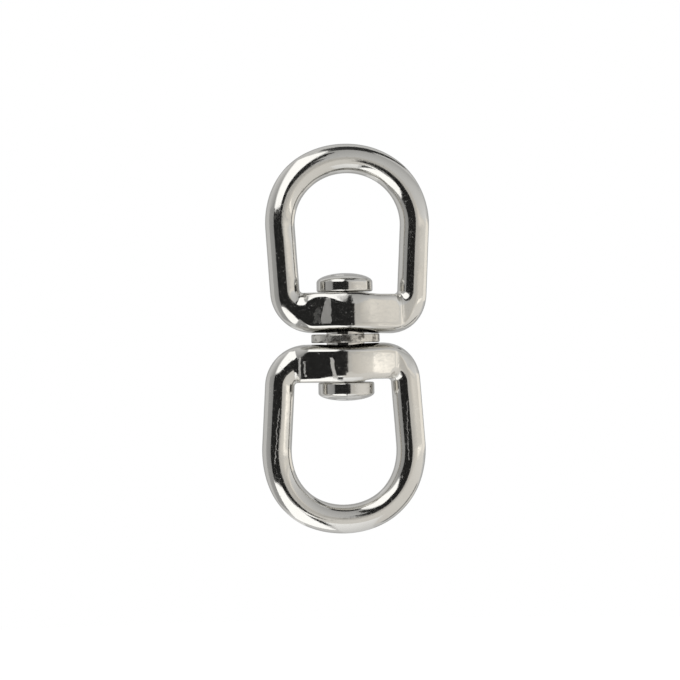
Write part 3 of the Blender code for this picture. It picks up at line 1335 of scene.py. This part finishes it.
# %% [markdown]
# ## Dark gap and white boxes
# The crisp black shapes on the yokes and down the legs are the dark gap round the lens, with a boom
# above it and a stand below. The white wedges beside them are soft boxes, most of them on the left.
# Close cards shift more from one piece to the next than far ones do, so each has its own distance, and
# where one distance can't suit all the pieces, a second strip of the same card stands nearer or farther.

# %% Dark gap and white boxes
DARK = (0.016, 0.016)
WHITE = (1.5, 1.5)
EDGE = 0.13
BOX = 0.30
NEAR = 0.60

card("lens_gap", NEAR, ((-12, -18.5), (12.5, -24), (12.5, 13), (-12, 18)), DARK)
card("dark_side", NEAR, ((-50, -27), (-12, -18.5), (-12, 18), (-48.5, 22)), DARK)
card("lens_edge", EDGE, box_corners(6, 16.5, -12, 14), DARK)
card("lens_edge_left", EDGE, box_corners(-12, 6, -10, 16), DARK)
card("boom", NEAR, ((-5, 13), (7, 13), (9, 56), (2, 56)), DARK)
card("boom_foot", EDGE, ((3, 20), (12, 20), (10, 36), (4, 38)), DARK)
card("stand", NEAR, ((0, -64), (7, -64), (5.5, -24), (-4, -24)), DARK)
card("high_box", BOX, ((-46, 21), (-6, 16.5), (0, 74), (-46, 96)), WHITE)
card("high_box_edge", BOX, ((-55, 23), (-46, 21), (-46, 96), (-56, 96)), (0.36, 1.2))
card("low_box", BOX, ((-54, -98), (2, -98), (-3, -30), (-54, -30)), WHITE)
card("low_box_far", NEAR, ((-54, -44), (-6, -44), (-12, -18.8), (-50, -27.3)), WHITE)
card("high_box_foot", EDGE, ((-46, 25), (-8, 20), (-8, 34), (-46, 40)), WHITE)
card("low_box_tip", BOX, ((-1, -36), (6, -36), (7, -28), (-3, -28)), WHITE)
card("low_front_box", BOX, ((2, -140), (40, -140), (34, -42), (6, -42)), (0.7, 0.7, 1.0, 1.2))
card("low_back_box", BOX, ((-100, -120), (-50, -140), (-40, -98), (-54, -98)), (0.8, 0.9))
print("cards so far:", len(cards))

# %% [markdown]
# ## Grey walls and the window
# The right halves of all pieces are pale and warm: they look at a wall with a window. The window's
# panes are three bands, because the yokes lean a little up or down and so see other panes than the
# upright collars and legs do. Thin dark edges above and below give the crowns their dark outlines.

# %% Grey walls, window and dark edges
WALL = 0.68
WARM = "#fffcf7"
WINDOW = "#fffaf2"

card("left_wall", WALL, box_corners(-90, -40, -80, 25), (0.46, 0.34))
card("high_left_wall", WALL, box_corners(-100, -50, 25, 100), (0.66, 0.34, 0.7, 0.9))
card("under_lens", WALL, box_corners(-40, 10, -32, 20), (0.34, 0.5))
card("ceiling", WALL, box_corners(2, 110, 10, 68), (0.6, 1.0, 0.5, 0.46))
card("right_wall", WALL, box_corners(10, 60, -10, 10), (0.60, 0.85, 0.66, 0.60), WARM)
card("right_wall_end", WALL, box_corners(60, 100, -10, 10), (0.84, 0.98, 0.90, 0.68), WARM)
card("middle_pane", NEAR, box_corners(28, 50, -2.4, 2.4), (0.60, 0.92), WINDOW)
card("middle_pane_end", NEAR, box_corners(50, 100, -2.4, 2.4), (0.95, 0.84), WINDOW)
card("high_pane", NEAR, box_corners(25, 43, 5.4, 10), (0.72, 1.15, 1.0, 0.66), WINDOW)
card("high_pane_end", NEAR, box_corners(43, 84, 5.4, 10), (1.1, 1.0, 0.88, 0.94), WINDOW)
card("low_pane", NEAR, box_corners(22, 52, -10, -5.4), (0.66, 0.9, 1.1, 0.76), WINDOW)
card("low_pane_end", NEAR, box_corners(52, 92, -10, -5.4), (1.35, 1.2, 1.25, 1.8), WINDOW)
card("right_window", NEAR, box_corners(100, 140, -16, 16), (1.2, 1.05), WINDOW)
card("low_right_wall", WALL, box_corners(5, 110, -90, -8), (0.78, 0.78, 1.0, 0.8), WARM)
card("top_edge", NEAR, ((0, 68), (36, 66), (36, 100), (0, 102)), (0.05, 0.03))
card("top_edge_right", NEAR, ((36, 75), (90, 89), (90, 103), (36, 97)), (0.03, 0.10))
card("top_edge_left", NEAR, ((-14, 90), (0, 78), (0, 98), (-14, 101)), (0.15, 0.05))
card("low_right_edge", NEAR, ((48, -94), (96, -46), (104, -54), (56, -102)), (0.2, 0.22))
print("cards in all:", len(cards))

# %% [markdown]
# ## Paper in the shadow
# Straight behind the swivel the paper lies in the swivel's own shadow, and the outermost rims, which
# mirror what is behind them, show it as a soft grey line. A real backdrop there would show in the
# picture, so a grey disc that only reflections see stands for that paper.

# %% Paper in the shadow
SHADOW_DISTANCE = 0.5
SHADOW_RADIUS = 0.55
SHADOW_SEGMENTS = 64
SHADOW_LEVEL = 0.5

shadow = bmesh.new()
bmesh.ops.create_circle(shadow, cap_ends=True, segments=SHADOW_SEGMENTS, radius=SHADOW_RADIUS)
shadow.transform(Matrix.Translation(-towards_camera * SHADOW_DISTANCE) @ facing)
even_glow("shadowed_paper", shadow, SHADOW_LEVEL)
print("shadowed paper radius in m:", SHADOW_RADIUS)

# %% [markdown]
# ## Ride
# The swivel has four bodies: two eyes, the pin with its collars, and the washer. Each piece rides on
# one of them and replaces the plain solid of its imported part.

# %% Ride and replace
SHOWN = (
    (upper_eye, "upper_eye", "upper_eye", "plated_eye"),
    (lower_eye, "lower_eye", "lower_eye", "plated_eye"),
    (pin, "pin", "swivel_pin", "plated_pin"),
    (upper_collar, "pin", "upper_collar", "plated_pin"),
    (lower_collar, "pin", "lower_collar", "plated_pin"),
    (washer, "washer", "thrust_washer", "plain_washer"),
)
for piece, body, node, slot in SHOWN:
    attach(piece, body)
    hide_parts(node)
print("pieces:", [(piece.name, body) for piece, body, node, slot in SHOWN])

# %% [markdown]
# ## Finish
# The standard view transform shows each colour about as it is written.

# %% Finish
bpy.context.scene.view_settings.view_transform = "Standard"
bpy.context.view_layer.update()
